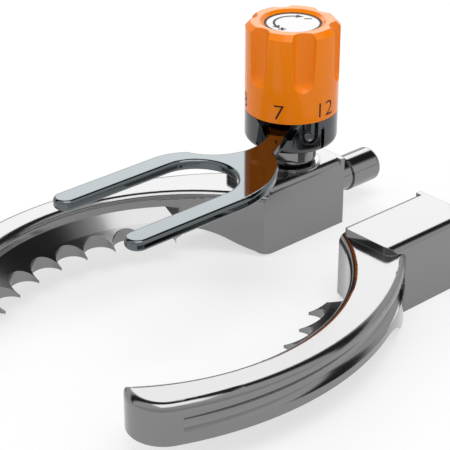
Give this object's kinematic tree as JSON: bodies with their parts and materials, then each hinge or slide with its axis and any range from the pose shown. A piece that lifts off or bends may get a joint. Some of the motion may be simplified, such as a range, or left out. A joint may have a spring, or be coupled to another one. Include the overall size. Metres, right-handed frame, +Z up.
{
  "type": "knee-cap resection guide",
  "caption": "Pair of mirrored C-shaped toothed jaws with rear spigots; one carries a dial gauge whose fork rises and falls over the gap between the jaws.",
  "frame": {"origin": "bottom centre of the whole guide as it stands, with the jaws parted", "axes": "+X from the gauge jaw to the plain jaw, +Y back towards the spigots, +Z up along the dial's axis"},
  "size_m": [0.066, 0.0866, 0.0387],
  "materials": {
    "polished_steel": "mirror polished",
    "turned_steel": "polished, finely turned",
    "plain_steel": "satin",
    "dark_mirror": "mirror polished",
    "fork_mirror": "mirror polished",
    "orange_plastic": "glossy",
    "disc_steel": "fine satin"
  },
  "bodies": {
    "gauge_side": {"gauge_jaw": "polished_steel", "gauge_spigot": "turned_steel", "post": "turned_steel", "stop_washer": "plain_steel", "stop_screw": "plain_steel"},
    "plain_side": {"plain_jaw": "polished_steel", "plain_spigot": "turned_steel"},
    "carriage": {"collar": "dark_mirror", "fork": "fork_mirror", "retaining_ring": "plain_steel", "spring_washer": "plain_steel", "detent_balls": "plain_steel", "detent_springs": "plain_steel"},
    "dial": {"grip": "orange_plastic", "lead_nut": "plain_steel", "cap_disc": "disc_steel"}
  },
  "joints": [
    {"name": "jaw_slide", "type": "slide", "parent": "gauge_side", "child": "plain_side", "axis": [-1, 0, 0], "range_m": [0, 0.012]},
    {"name": "carriage_slide", "type": "slide", "parent": "gauge_side", "child": "carriage", "axis": [0, 0, 1], "range_m": [0, 0.005]},
    {"name": "dial_turn", "type": "hinge", "parent": "carriage", "child": "dial", "pos_m": [-0.0143, 0.0229, 0.03], "axis": [0, 0, 1], "range_deg": [0, 300]}
  ],
  "couplings": [
    {"joint": "dial_turn", "follows": "carriage_slide", "rad_per_m": 1047.2}
  ]
}
